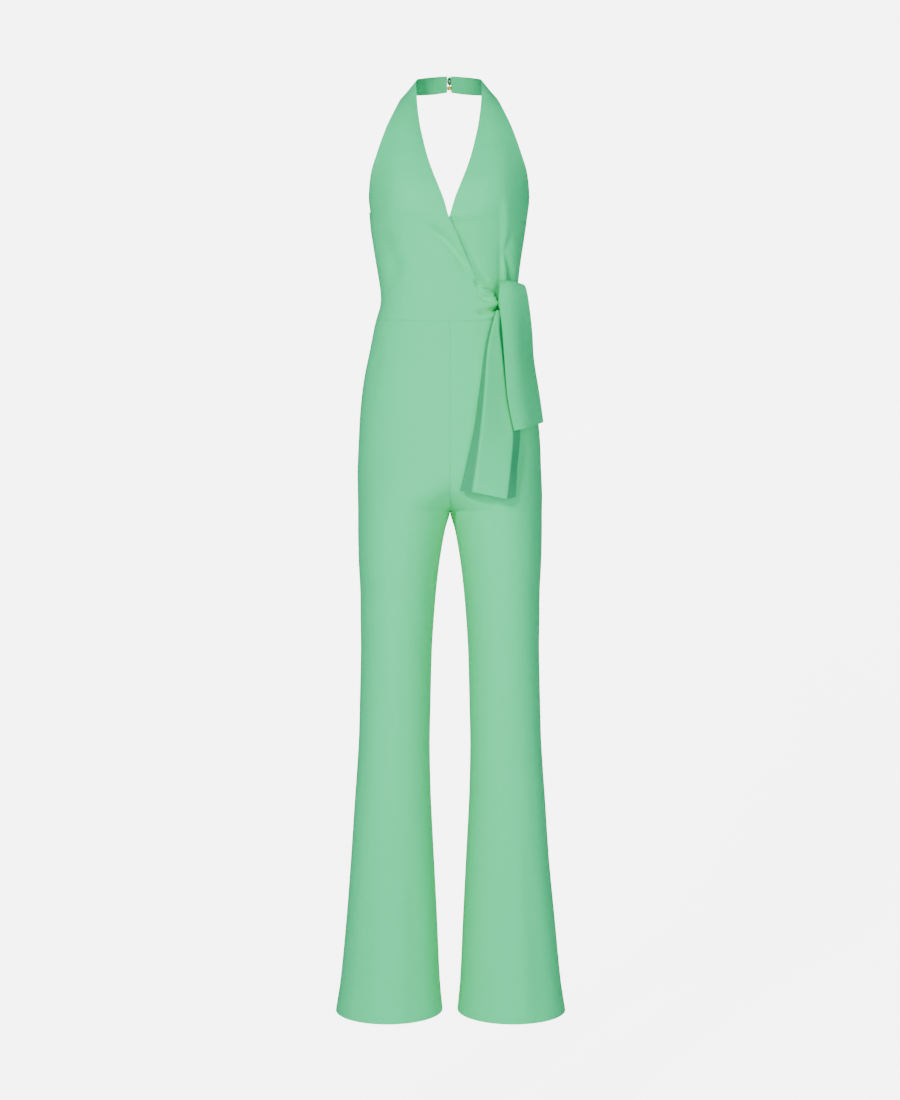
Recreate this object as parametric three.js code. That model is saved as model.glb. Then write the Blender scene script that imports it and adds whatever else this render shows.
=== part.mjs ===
// Halter-neck wrap jumpsuit with a side tie and flared legs, filled out as worn.
// Millimetres. +X is the wearer's left, -Y the front, +Z up.
// The origin is on the neck's axis, level with the middle of the neck band.
import * as THREE from "three";

// Cloth and seams
const wall = 1.3;
const bandWall = 2.2; // the neck band is folded double
const seamGap = 0.3;
const halfGap = seamGap / 2;

// Main levels
const waistSeam = -407;
const splitStart = -625; // where the centre seams begin to curve under
const crotch = -718;
const hem = -1534;
const waistDip = 9; // how far the waist seam drops at centre front
const dipReach = 70;

// Body and legs, one row for each level: the centre line, the half width,
// the inside leg and the front and back faces. "square" is the section's exponent.
const figure = [
  { z: -150, lean: -3, outer: 131, inner: 0, front: -100, back: 92, square: 2.2 },
  { z: -226, lean: -3, outer: 129.5, inner: 0, front: -110, back: 96, square: 2.2 },
  { z: -255, lean: -3, outer: 127, inner: 0, front: -107, back: 94, square: 2.2 },
  { z: -304, lean: -3, outer: 119.5, inner: 0, front: -96, back: 89, square: 2.2 },
  { z: -354, lean: -2, outer: 112.5, inner: 0, front: -87, back: 83, square: 2.2 },
  { z: -378, lean: -2, outer: 112, inner: 0, front: -86, back: 82, square: 2.2 },
  { z: -407, lean: -2, outer: 120, inner: 0, front: -89, back: 85, square: 2.2 },
  { z: -452, lean: -2, outer: 129, inner: 0, front: -97, back: 93, square: 2.2 },
  { z: -501, lean: -2, outer: 139, inner: 0, front: -104, back: 104, square: 2.2 },
  { z: -550, lean: -2, outer: 145, inner: 0, front: -107, back: 114, square: 2.2 },
  { z: -600, lean: -1, outer: 149, inner: 0, front: -108, back: 122, square: 2.2 },
  { z: -649, lean: -1, outer: 151, inner: 0, front: -108, back: 124, square: 2.15 },
  { z: -690, lean: 0, outer: 151.5, inner: 0, front: -104, back: 116, square: 2.1 },
  { z: -718, lean: 0, outer: 151, inner: 0, front: -97, back: 107, square: 2.1 },
  { z: -747, lean: 0, outer: 151, inner: 8, front: -92, back: 102, square: 2.1 },
  { z: -796, lean: 0, outer: 150, inner: 16.5, front: -86, back: 95, square: 2.1 },
  { z: -846, lean: 0, outer: 147.5, inner: 22.5, front: -80, back: 89, square: 2.05 },
  { z: -895, lean: 0, outer: 147, inner: 26.5, front: -75, back: 84, square: 2.05 },
  { z: -944, lean: 0, outer: 146.5, inner: 29.5, front: -70, back: 80, square: 2 },
  { z: -1042, lean: 0, outer: 148.5, inner: 32, front: -63, back: 74, square: 2 },
  { z: -1092, lean: 0, outer: 150, inner: 33, front: -61, back: 74, square: 2 },
  { z: -1141, lean: 0, outer: 153, inner: 32.5, front: -61, back: 75, square: 2 },
  { z: -1190, lean: 0, outer: 156.5, inner: 31, front: -62.5, back: 77, square: 2 },
  { z: -1288, lean: 0, outer: 163, inner: 26, front: -67, back: 83, square: 2 },
  { z: -1387, lean: 1, outer: 171.5, inner: 21, front: -74, back: 90, square: 2 },
  { z: -1485, lean: 1, outer: 181, inner: 16.5, front: -83, back: 97, square: 2 },
  { z: -1534, lean: 1, outer: 188.5, inner: 12, front: -88, back: 101, square: 2 },
];

// Levels of the trouser rows, closer together round the crotch
const trouserRows = [
  -430, -455, -480, -510, -545, -580, -612, -640, -664, -684, -699, -710, -717, -721, -730,
  -748, -775, -810, -855, -905, -960, -1020, -1080, -1140, -1205, -1275, -1350, -1430, -1485,
];

// The halter fronts below the underarm, from the waist seam up: how high each row
// is at the side seam, and where it ends on the wrap's upper and under edges.
const wrapRows = [
  { side: -407, overX: 74, overZ: -407, underX: -76, underZ: -407 },
  { side: -393, overX: 74, overZ: -396, underX: -70, underZ: -392 },
  { side: -379, overX: 74, overZ: -385, underX: -62, underZ: -377 },
  { side: -363, overX: 73, overZ: -374, underX: -53, underZ: -361 },
  { side: -346, overX: 60, overZ: -359, underX: -43, underZ: -345 },
  { side: -325, overX: 41, overZ: -345, underX: -31, underZ: -324 },
  { side: -301, overX: 30, overZ: -324, underX: -20, underZ: -299 },
  { side: -276, overX: 19, overZ: -299, underX: -10, underZ: -276 },
  { side: -251, overX: 9, overZ: -276, underX: -4, underZ: -264 },
];

// The same fronts from the underarm up, over the side of the neck and round to centre
// back: the armhole edge, the neck edge, and how far the cloth bows between them.
const halterRows = [
  { armX: 129, armY: -9, armZ: -228, neckX: 1, neckY: -110, neckZ: -252, bow: 30 },
  { armX: 131, armY: -20, armZ: -210, neckX: 8, neckY: -107, neckZ: -228, bow: 26 },
  { armX: 129, armY: -40, armZ: -190, neckX: 17.5, neckY: -103, neckZ: -203, bow: 20 },
  { armX: 125, armY: -50, armZ: -168, neckX: 27, neckY: -96, neckZ: -178, bow: 16 },
  { armX: 117, armY: -57, armZ: -145, neckX: 35, neckY: -88, neckZ: -152, bow: 13 },
  { armX: 109, armY: -55, armZ: -121, neckX: 41, neckY: -76, neckZ: -126, bow: 10 },
  { armX: 100, armY: -47, armZ: -95, neckX: 46.5, neckY: -60, neckZ: -98, bow: 8 },
  { armX: 88, armY: -30, armZ: -65, neckX: 50.5, neckY: -40, neckZ: -67, bow: 5 },
  { armX: 81, armY: -11, armZ: -46, neckX: 52.5, neckY: -20, neckZ: -42, bow: 3 },
  { armX: 77, armY: 8, armZ: -35, neckX: 54, neckY: -3, neckZ: -20, bow: 2 },
  { armX: 70, armY: 24, armZ: -25, neckX: 54, neckY: 15, neckZ: -5, bow: 1 },
  { armX: 57, armY: 43, armZ: -23, neckX: 44.5, neckY: 38, neckZ: 4, bow: 0 },
  { armX: 30, armY: 59.5, armZ: -18, neckX: 25, neckY: 56, neckZ: 11, bow: 0 },
  { armX: 4.5, armY: 65, armZ: -13, neckX: 4.5, neckY: 63, neckZ: 14, bow: 0 },
];
const bandStart = 10; // the halter row at which the neck band is sewn on
const halterSquare = 2.2; // the section's exponent at the underarm
const fullBow = 5; // the row by which the cloth has left the body's round section
const neckLean = -1.5;
const armLean = -1.5;

// Bust shaping, a soft swell in both fronts
const bust = { x: 68, z: -212, rise: 14, wide: 40, tall: 42, edge: 131, clearEdge: 45 };

// How far the under front lies inside the upper one, and where that begins
const underlap = { depth: 2.8, top: -215, ramp: 32, sideX: 92, sideRamp: 14 };

// Pleats of the upper front where it is drawn into the knot
const pleats = { from: 38, to: 72, rise: 4.5, sideways: 0.5, rows: 4.6, count: 3 };

// The low back
const backTop = { side: -228, centre: -345 };

// The tie's tails, a row for each station down the strip. Each control point is
// [x, y, z], from the strip's left edge to its right edge as seen from the front.
const upperTail = [
  { left: [84, -70, -358], fold: [97, -62, -357], right: [111, -46, -358] },
  { left: [80, -86, -353], fold: [98, -79, -352], right: [117, -57, -354] },
  { left: [78, -98, -362], fold: [99, -90, -360], right: [122, -62, -363] },
  { left: [78, -103, -390], fold: [101, -94, -390], right: [127, -56, -390] },
  { left: [82, -107, -430], fold: [104, -96, -428], right: [132, -46, -430] },
  { left: [85.5, -109, -475], fold: [108, -97, -473], right: [135, -42, -473] },
  { left: [91, -110, -541], fold: [114, -98, -538], right: [144, -42, -530] },
  { left: [101, -108, -592], fold: [122, -97, -587], right: [150, -44, -574] },
];
const lowerTail = [
  { back: [73, -79, -400.6], left: [75, -87, -399.6], right: [80, -85, -399.6], under: [92, -72, -399.6] },
  { back: [64, -88, -430], left: [67, -98, -430], right: [76, -92, -430], under: [94, -74, -430] },
  { back: [56, -96, -467], left: [60, -111, -467], right: [80, -97, -467], under: [98, -78, -467] },
  { back: [46, -108, -543], left: [54, -124, -543], right: [89, -99, -543], under: [106, -82, -543] },
  { back: [39, -111, -592], left: [49, -128, -592], right: [98, -99, -592], under: [111, -80, -592] },
  { back: [26, -113, -650], left: [42, -131, -650], right: [94, -110, -650], under: [106, -91, -648] },
  { back: [17, -108, -687], left: [36, -128, -689], right: [88, -114, -700], under: [103, -98, -696] },
];

// The knot, a short crumpled roll of the tie: its middle line, half height and half depth
const knot = [
  { x: 79, y: -79, z: -383, tall: 12, deep: 7 },
  { x: 85, y: -77, z: -381, tall: 17.5, deep: 11 },
  { x: 95, y: -70, z: -380, tall: 19.5, deep: 14 },
  { x: 106, y: -59, z: -379, tall: 19.5, deep: 14 },
  { x: 115, y: -45, z: -378, tall: 16, deep: 11 },
  { x: 119, y: -32, z: -377, tall: 9, deep: 5 },
];
const knotSides = 14;
const knotLobes = { count: 4, rise: 0.1 };

// The closure at centre back: a thread loop above and a small metal hook below
const loop = { radius: 3.1, thread: 1, y: 64, z: 7 };
const hook = { x: -2.1, long: 6.6, tall: 5, deep: 2, y: 64.5, z: -4.5 };

const clamp = (value, low, high) => Math.min(high, Math.max(low, value));
const mix = (a, b, t) => a + (b - a) * t;
const ease = (t) => {
  const s = clamp(t, 0, 1);
  return s * s * (3 - 2 * s);
};
const signedPower = (value, power) => Math.sign(value) * Math.abs(value) ** power;

// A table's column at a level, on a smooth curve through its rows.
function read(table, key, at, column) {
  const down = table[0][key] > table[table.length - 1][key];
  let i = 1;
  while (i < table.length - 1 && (down ? at < table[i][key] : at > table[i][key])) i++;
  const row = (k) => table[clamp(k, 0, table.length - 1)];
  const a = row(i - 1);
  const b = row(i);
  const slope = (p, q) => (q[column] - p[column]) / (q[key] - p[key] || 1);
  const span = b[key] - a[key];
  const t = clamp((at - a[key]) / span, -0.2, 1.2);
  const startSlope = i - 2 < 0 ? slope(a, b) : slope(row(i - 2), b);
  const endSlope = i + 1 >= table.length ? slope(a, b) : slope(a, row(i + 1));
  const t2 = t * t;
  const t3 = t2 * t;
  return (
    (2 * t3 - 3 * t2 + 1) * a[column] +
    (t3 - 2 * t2 + t) * span * startSlope +
    (3 * t2 - 2 * t3) * b[column] +
    (t3 - t2) * span * endSlope
  );
}

// The body's measures at a level.
function measures(z) {
  const m = { z };
  for (const column of ["lean", "outer", "inner", "front", "back", "square"]) {
    m[column] = read(figure, "z", z, column);
  }
  m.middle = (m.front + m.back) / 2;
  m.deep = (m.back - m.front) / 2;
  return m;
}

// One half of the body, and below the crotch one leg, as a rounded section whose
// middle moves out from the centre line until it closes at the inside leg.
function halfSection(z) {
  const m = measures(z);
  if (z > crotch) {
    const share = clamp((splitStart - z) / (splitStart - crotch), 0, 1) ** 1.7;
    m.wide = m.outer / (1 + share);
    m.shift = m.wide * share;
  } else {
    const inner = Math.max(m.inner, 0);
    m.wide = (m.outer - inner) / 2;
    m.shift = (m.outer + inner) / 2;
  }
  return m;
}

// The garment leans a little to one side at its edges, and not at its centre seams.
const leanAt = (m, x) => m.lean * (x / m.outer) ** 2;

// How much the waist seam's dip moves a point, by how far round to the front it is.
function dip(z, frontness) {
  const near = 1 - ease(Math.abs(z - waistSeam) / dipReach);
  return -waistDip * near * clamp(frontness, 0, 1) ** 2;
}

// A point on one half: angle 0 at the side seam, rising through the front.
function halfPoint(side, z, angle) {
  const m = halfSection(z);
  const power = 2 / m.square;
  const x = side * (m.shift + m.wide * signedPower(Math.cos(angle), power));
  const y = m.middle - m.deep * signedPower(Math.sin(angle), power);
  return new THREE.Vector3(x + leanAt(m, x), y, z + dip(z, Math.sin(angle)));
}

// The angles between which a front panel runs at a level, half a gap from each seam.
function panelAngles(z) {
  const m = halfSection(z);
  const start = Math.asin((halfGap / m.deep) ** (m.square / 2));
  const reach = (halfGap - m.shift) / m.wide;
  const centreSeam = Math.acos(clamp(signedPower(reach, m.square / 2), -1, 1));
  return { start, end: Math.min(centreSeam, Math.PI - start) };
}

// A closed wall through a grid of points on its outer face. pointAt takes the share
// across and the share along, each from 0 to 1, and also works just past them.
function wallThrough({ name, across, along, pointAt, thick = wall, colour = mint }) {
  const outer = [];
  const inner = [];
  const step = 1e-3;
  for (const v of along) {
    for (const u of across) {
      const p = pointAt(u, v);
      const du = pointAt(u + step, v).sub(pointAt(u - step, v));
      const dv = pointAt(u, v + step).sub(pointAt(u, v - step));
      const normal = du.cross(dv).normalize();
      outer.push(p);
      inner.push(p.clone().addScaledVector(normal, -thick));
    }
  }
  const columns = across.length;
  const rows = along.length;
  const triangles = [];
  const at = (i, j) => i * columns + j;
  const inside = rows * columns;
  const quad = (a, b, c, d) => triangles.push([a, b, c], [a, c, d]);
  for (let i = 0; i < rows - 1; i++) {
    for (let j = 0; j < columns - 1; j++) {
      quad(at(i, j), at(i, j + 1), at(i + 1, j + 1), at(i + 1, j));
      quad(
        inside + at(i, j),
        inside + at(i + 1, j),
        inside + at(i + 1, j + 1),
        inside + at(i, j + 1),
      );
    }
  }
  const rim = [];
  for (let j = 0; j < columns - 1; j++) rim.push(at(0, j));
  for (let i = 0; i < rows - 1; i++) rim.push(at(i, columns - 1));
  for (let j = columns - 1; j > 0; j--) rim.push(at(rows - 1, j));
  for (let i = rows - 1; i > 0; i--) rim.push(at(i, 0));
  rim.forEach((a, k) => {
    const b = rim[(k + 1) % rim.length];
    quad(a, inside + a, inside + b, b);
  });
  return closedMesh(name, [...outer, ...inner], triangles, colour);
}

// A named mesh from points and triangles, turned so that its faces point out.
function closedMesh(name, points, triangles, colour) {
  let volume = 0;
  for (const [a, b, c] of triangles) {
    volume += points[a].dot(points[b].clone().cross(points[c]));
  }
  const facing = volume < 0 ? triangles.map(([a, b, c]) => [a, c, b]) : triangles;
  const geometry = new THREE.BufferGeometry();
  geometry.setAttribute(
    "position",
    new THREE.Float32BufferAttribute(
      points.flatMap((p) => [p.x, p.y, p.z]),
      3,
    ),
  );
  geometry.setIndex(facing.flat());
  geometry.computeVertexNormals();
  const material = new THREE.MeshStandardMaterial(colour);
  const mesh = new THREE.Mesh(geometry, material);
  mesh.name = name;
  return mesh;
}

const shares = (count) => Array.from({ length: count + 1 }, (_, i) => i / count);
const mint = { color: 0x8fe8bb, roughness: 0.72, metalness: 0 };

// Trouser panels: face is 1 for a front and -1 for a back.
function legPanel(name, side, face) {
  const top = waistSeam - halfGap;
  const levels = [top, ...trouserRows, hem];
  const levelAt = (v) => {
    const place = v * (levels.length - 1);
    const i = clamp(Math.floor(place), 0, levels.length - 2);
    return mix(levels[i], levels[i + 1], place - i);
  };
  const pointAt = (u, v) => {
    const z = levelAt(v);
    const { start, end } = panelAngles(z);
    return halfPoint(side, z, face * mix(start, end, u));
  };
  const turn = side * face > 0 ? pointAt : (u, v) => pointAt(1 - u, v);
  return wallThrough({
    name,
    across: shares(11),
    along: shares(levels.length - 1),
    pointAt: turn,
  });
}

// A point on the whole body's section: angle 0 at the wearer's left side.
function bodyPoint(z, angle) {
  const m = measures(z);
  const power = 2 / m.square;
  const x = m.outer * signedPower(Math.cos(angle), power);
  const y = m.middle - m.deep * signedPower(Math.sin(angle), power);
  return new THREE.Vector3(x + leanAt(m, x), y, z + dip(z, Math.sin(angle)));
}

// The angle at which the body's front has a given x.
function angleAt(z, x) {
  const m = measures(z);
  const plain = x - leanAt(m, x);
  return Math.acos(clamp(signedPower(plain / m.outer, m.square / 2), -1, 1));
}

function seamAngle(z) {
  const m = measures(z);
  return Math.asin((halfGap / m.deep) ** (m.square / 2));
}

// One row of a halter front, u from the side or armhole edge to the wrap or neck edge.
function halterRow(side, row, u) {
  if (row < wrapRows.length) {
    const r = wrapRows[row];
    const edgeX = side < 0 ? r.overX : r.underX;
    const edgeZ = side < 0 ? r.overZ : r.underZ;
    const z = mix(r.side, edgeZ, u) + halfGap;
    const from = side < 0 ? Math.PI - seamAngle(r.side) : seamAngle(r.side);
    return bodyPoint(z, mix(from, angleAt(edgeZ, edgeX), u));
  }
  const place = row - wrapRows.length;
  const r = halterRows[place];
  const round = 1 - ease(place / fullBow);
  const power = 2 / halterSquare;
  const turn = (u * Math.PI) / 2;
  const roundX = r.neckX + (r.armX - r.neckX) * signedPower(Math.cos(turn), power);
  const roundY = r.armY + (r.neckY - r.armY) * signedPower(Math.sin(turn), power);
  const flatX = mix(r.armX, r.neckX, u);
  const flatY = mix(r.armY, r.neckY, u) - r.bow * Math.sin(Math.PI * u);
  return new THREE.Vector3(
    side * mix(flatX, roundX, round) + mix(armLean, neckLean, u),
    mix(flatY, roundY, round),
    mix(r.armZ, r.neckZ, u),
  );
}

// Smooth place between four neighbours, as on a curve through them.
function between(before, a, b, after, t) {
  const curve = (p0, p1, p2, p3) =>
    0.5 *
    (2 * p1 +
      (p2 - p0) * t +
      (2 * p0 - 5 * p1 + 4 * p2 - p3) * t * t +
      (3 * p1 - p0 - 3 * p2 + p3) * t ** 3);
  return new THREE.Vector3(
    curve(before.x, a.x, b.x, after.x),
    curve(before.y, a.y, b.y, after.y),
    curve(before.z, a.z, b.z, after.z),
  );
}

// A point at a fractional row of a set of rows.
function alongRows(rowAt, last, place) {
  const i = clamp(Math.floor(place), 0, last - 1);
  const pick = (k) => rowAt(clamp(k, 0, last));
  return between(pick(i - 1), pick(i), pick(i + 1), pick(i + 2), place - i);
}

function swell(p) {
  const across = (Math.abs(p.x - armLean) - bust.x) / bust.wide;
  const up = (p.z - bust.z) / bust.tall;
  const inside = ease((bust.edge - Math.abs(p.x - armLean)) / bust.clearEdge);
  return bust.rise * inside * Math.exp(-0.5 * (across * across + up * up));
}

// A point on a halter front at a fractional row, with its bust shaping and folds.
function halterPoint(side, place, u) {
  const last = wrapRows.length + halterRows.length - 1;
  const p = alongRows((k) => halterRow(side, k, u), last, place);
  p.y -= swell(p);
  if (side < 0 && place < pleats.rows) {
    const draw = ease((p.x - pleats.from) / (pleats.to - pleats.from));
    const wave = Math.sin((Math.PI * pleats.count * place) / pleats.rows) ** 2;
    const fold = pleats.rise * draw * wave;
    p.x += fold * pleats.sideways;
    p.y -= fold;
  }
  if (side > 0) {
    const below = ease((underlap.top - p.z) / underlap.ramp);
    p.y += underlap.depth * below * ease((underlap.sideX - p.x) / underlap.sideRamp);
  }
  return p;
}

function halterPiece({ name, side, across, places, thick }) {
  const spread = (v) => {
    const at = v * (places.length - 1);
    const i = clamp(Math.floor(at), 0, places.length - 2);
    return mix(places[i], places[i + 1], at - i);
  };
  const pointAt = (u, v) => halterPoint(side, spread(v), side < 0 ? u : 1 - u);
  return wallThrough({ name, across, along: shares(places.length - 1), pointAt, thick });
}

// The fronts' rows: halves of a row where the cloth is pleated, whole rows above.
const lowerPlaces = Array.from({ length: 12 }, (_, i) => i * 0.4);
const upperPlaces = Array.from({ length: 14 }, (_, i) => i + 5);
const bandRow = wrapRows.length + bandStart;
const frontPlaces = [...lowerPlaces, ...upperPlaces, bandRow - 0.01];
const bandPlaces = [bandRow + 0.01, bandRow + 0.7, bandRow + 1.4, bandRow + 2.2, bandRow + 3];

// One side of the low back, from the side seam to the centre-back seam.
function backBodice(name, side) {
  const pointAt = (u, v) => {
    const end = angleAt(waistSeam, halfGap);
    const angle = mix(seamAngle(waistSeam), end, u);
    const top = mix(backTop.side, backTop.centre, Math.max(Math.sin(angle), 0) ** 1.4);
    const z = mix(waistSeam + halfGap, top, v);
    return bodyPoint(z, side > 0 ? -angle : angle - Math.PI);
  };
  const turned = side > 0 ? pointAt : (u, v) => pointAt(1 - u, v);
  return wallThrough({ name, across: shares(11), along: shares(6), pointAt: turned });
}

// A tie tail: straight between its control points across, smooth along.
function tail(name, rows, split) {
  const keys = Object.keys(rows[0]);
  const points = rows.map((row) => keys.map((key) => new THREE.Vector3(...row[key])));
  const pointAt = (u, v) => {
    const place = (1 - u) * (keys.length - 1);
    const i = clamp(Math.floor(place), 0, keys.length - 2);
    const edge = (k) => (row) => points[row][k];
    const last = points.length - 1;
    const a = alongRows(edge(i), last, v * last);
    const b = alongRows(edge(i + 1), last, v * last);
    return a.lerp(b, place - i);
  };
  const across = shares((keys.length - 1) * split);
  return wallThrough({ name, across, along: shares((rows.length - 1) * 2), pointAt });
}

// The knot: a lobed section carried along the roll and closed at both ends.
function knotRoll(name) {
  const points = [];
  const triangles = [];
  knot.forEach((station, i) => {
    const before = knot[Math.max(i - 1, 0)];
    const after = knot[Math.min(i + 1, knot.length - 1)];
    const outward = new THREE.Vector3(after.y - before.y, before.x - after.x, 0).normalize();
    for (let k = 0; k < knotSides; k++) {
      const turn = (2 * Math.PI * k) / knotSides;
      const lobe = 1 + knotLobes.rise * Math.cos(knotLobes.count * turn + i);
      points.push(
        new THREE.Vector3(station.x, station.y, station.z)
          .addScaledVector(outward, station.deep * lobe * Math.cos(turn))
          .add(new THREE.Vector3(0, 0, station.tall * lobe * Math.sin(turn))),
      );
    }
  });
  const ring = (i, k) => i * knotSides + (k % knotSides);
  for (let i = 0; i < knot.length - 1; i++) {
    for (let k = 0; k < knotSides; k++) {
      triangles.push([ring(i, k), ring(i, k + 1), ring(i + 1, k + 1)]);
      triangles.push([ring(i, k), ring(i + 1, k + 1), ring(i + 1, k)]);
    }
  }
  for (let k = 1; k < knotSides - 1; k++) {
    triangles.push([ring(0, 0), ring(0, k + 1), ring(0, k)]);
    triangles.push([ring(knot.length - 1, 0), ring(knot.length - 1, k), ring(knot.length - 1, k + 1)]);
  }
  return closedMesh(name, points, triangles, mint);
}

// The two small closures, which bridge the gap between the neck band's ends.
function threadLoop(name) {
  const material = new THREE.MeshStandardMaterial({ color: 0x3f9a63, roughness: 0.8 });
  const mesh = new THREE.Mesh(new THREE.TorusGeometry(loop.radius, loop.thread, 6, 16), material);
  mesh.name = name;
  mesh.rotation.x = Math.PI / 2;
  mesh.position.set(neckLean, loop.y, loop.z);
  return mesh;
}

function metalHook(name) {
  const outline = new THREE.Shape();
  outline.absellipse(0, 0, hook.long / 2, hook.tall / 2, 0, 2 * Math.PI);
  const geometry = new THREE.ExtrudeGeometry(outline, {
    depth: hook.deep,
    bevelEnabled: false,
    curveSegments: 8,
  });
  const material = new THREE.MeshStandardMaterial({ color: 0xc9a14a, roughness: 0.35, metalness: 1 });
  const mesh = new THREE.Mesh(geometry, material);
  mesh.name = name;
  mesh.rotation.x = Math.PI / 2;
  mesh.position.set(hook.x, hook.y, hook.z);
  return mesh;
}

const garment = new THREE.Group();
garment.add(
  halterPiece({ name: "front_bodice_right", side: -1, across: shares(12), places: frontPlaces }),
  halterPiece({ name: "front_bodice_left", side: 1, across: shares(12), places: frontPlaces }),
  halterPiece({
    name: "neck_band_right",
    side: -1,
    across: shares(2),
    places: bandPlaces,
    thick: bandWall,
  }),
  halterPiece({
    name: "neck_band_left",
    side: 1,
    across: shares(2),
    places: bandPlaces,
    thick: bandWall,
  }),
  backBodice("back_bodice_left", 1),
  backBodice("back_bodice_right", -1),
  tail("tie_upper_tail", upperTail, 4),
  tail("tie_lower_tail", lowerTail, 3),
  knotRoll("tie_knot"),
  threadLoop("neck_loop"),
  metalHook("neck_hook"),
  legPanel("front_leg_left", 1, 1),
  legPanel("front_leg_right", -1, 1),
  legPanel("back_leg_left", 1, -1),
  legPanel("back_leg_right", -1, -1),
);

export default garment;
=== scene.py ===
# Halter-neck wrap jumpsuit: its cloth, seams and closure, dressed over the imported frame.
import math

import bpy
import numpy as np
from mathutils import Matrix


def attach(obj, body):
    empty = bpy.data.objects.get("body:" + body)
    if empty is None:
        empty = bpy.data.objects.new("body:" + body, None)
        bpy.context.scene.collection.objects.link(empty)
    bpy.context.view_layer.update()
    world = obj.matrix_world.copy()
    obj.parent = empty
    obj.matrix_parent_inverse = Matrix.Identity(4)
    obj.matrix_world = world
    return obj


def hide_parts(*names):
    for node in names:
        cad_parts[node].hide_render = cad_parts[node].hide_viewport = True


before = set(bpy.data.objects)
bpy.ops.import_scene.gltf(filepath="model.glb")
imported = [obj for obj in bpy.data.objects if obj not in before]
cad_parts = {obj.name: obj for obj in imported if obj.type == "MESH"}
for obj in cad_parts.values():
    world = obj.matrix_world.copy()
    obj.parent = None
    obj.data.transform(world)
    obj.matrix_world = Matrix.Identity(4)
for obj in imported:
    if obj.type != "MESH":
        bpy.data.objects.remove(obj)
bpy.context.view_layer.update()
print("stage: frame loaded")

mm = 0.001

camera = {
    "distance": 2.8, "height": -0.78,  # level with the middle of the photograph
    "frameHeight": 1.804,  # real height that the frame takes in at the garment
    "sensor": 24,
}
lights = [
    {"name": "keyLight", "place": (-1.5, -2.9, 0.9), "aim": (0, 0, -0.8), "size": (0.3, 0.3), "power": 106},
    {"name": "fillLight", "place": (0.9, -3.4, -0.7), "aim": (0, 0, -0.8), "size": (0.9, 2.4), "power": 86},
]
backdrop = {
    "floor": -1.75, "back": 2.6, "front": -3.6, "half": 4.5, "top": 3.2, "bend": 1.2,
    "bendSteps": 12, "white": (0.9, 0.9, 0.9, 1), "rough": 0.9, "seenGlow": 6.5, "castGlow": 0.1,
}
worldLight = {"colour": (1, 1, 1, 1), "strength": 0.1}


def makeCamera():
    data = bpy.data.cameras.new("camera")
    data.sensor_fit = "VERTICAL"
    data.sensor_height = camera["sensor"]
    data.lens = camera["sensor"] * camera["distance"] / camera["frameHeight"]
    shooter = bpy.data.objects.new("camera", data)
    shooter.location = (0, -camera["distance"], camera["height"])
    shooter.rotation_euler = (math.pi / 2, 0, 0)
    bpy.context.collection.objects.link(shooter)
    bpy.context.scene.camera = shooter


def makeLights():
    for row in lights:
        data = bpy.data.lights.new(row["name"], "AREA")
        data.shape = "RECTANGLE"
        data.size, data.size_y = row["size"]
        data.energy = row["power"]
        lamp = bpy.data.objects.new(row["name"], data)
        lamp.location = row["place"]
        away = np.array(row["place"]) - np.array(row["aim"])
        flat = math.hypot(away[0], away[1])
        lamp.rotation_euler = (math.atan2(flat, away[2]), 0, math.atan2(away[0], -away[1]))
        bpy.context.collection.objects.link(lamp)
    world = bpy.data.worlds.new("studio")
    world.use_nodes = True
    world.node_tree.nodes["Background"].inputs["Color"].default_value = worldLight["colour"]
    world.node_tree.nodes["Background"].inputs["Strength"].default_value = worldLight["strength"]
    bpy.context.scene.world = world


def makeBackdrop():
    b = backdrop
    profile = [(b["front"], b["floor"])]
    for i in range(b["bendSteps"] + 1):  # the bend between floor and wall
        turn = math.pi / 2 * i / b["bendSteps"]
        profile.append((b["back"] - b["bend"] + b["bend"] * math.sin(turn),
                        b["floor"] + b["bend"] - b["bend"] * math.cos(turn)))
    profile.append((b["back"], b["top"]))
    points = [(x, y, z) for y, z in profile for x in (-b["half"], b["half"])]
    faces = [(2 * i, 2 * i + 1, 2 * i + 3, 2 * i + 2) for i in range(len(profile) - 1)]
    mesh = bpy.data.meshes.new("backdrop")
    mesh.from_pydata(points, [], faces)
    mesh.polygons.foreach_set("use_smooth", [True] * len(faces))
    sweep = bpy.data.objects.new("backdrop", mesh)
    bpy.context.collection.objects.link(sweep)
    paint = bpy.data.materials.new("backdropWhite")
    paint.use_nodes = True
    shader = paint.node_tree.nodes["Principled BSDF"]
    shader.inputs["Base Color"].default_value = b["white"]
    shader.inputs["Roughness"].default_value = b["rough"]
    shader.inputs["Emission Color"].default_value = b["white"]
    nodes, links = paint.node_tree.nodes, paint.node_tree.links
    rays = nodes.new("ShaderNodeLightPath")
    glow = nodes.new("ShaderNodeMapRange")  # bright where the camera sees it, faint as a light
    glow.inputs["To Min"].default_value = b["castGlow"]
    glow.inputs["To Max"].default_value = b["seenGlow"]
    links.new(rays.outputs["Is Camera Ray"], glow.inputs["Value"])
    links.new(glow.outputs["Result"], shader.inputs["Emission Strength"])
    mesh.materials.append(paint)


makeCamera()
makeLights()
makeBackdrop()
print("stage: camera, lights and backdrop made")


# Cloth finish
clothFinish = {
    # lit is the cloth's own colour; deep is a shaded copy of it, mixed in as painted shade
    "lit": (0.014, 0.78, 0.29, 1), "deep": (0.02, 0.42, 0.175, 1),
    # inside: a darker copy of the cloth for the neck band, painted shade for its inner face that lies in
    # shade
    "inside": (0.01, 0.56, 0.20, 1),
    "roughness": 0.78, "sheen": 0.03, "sheenTint": (0.55, 1.0, 0.75, 1), "sheenRoughness": 0.5,
    "specular": 0.12, "threadsPerMetre": 2400, "grain": 0.22, "grainDeep": 0.0003, "mottle": 0.05,
    "slubScale": (900, 140, 1),  # slubs run along the warp
    "slubHeight": 0.45, "patchScale": 7, "pebbleShade": -0.12,
}


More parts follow.
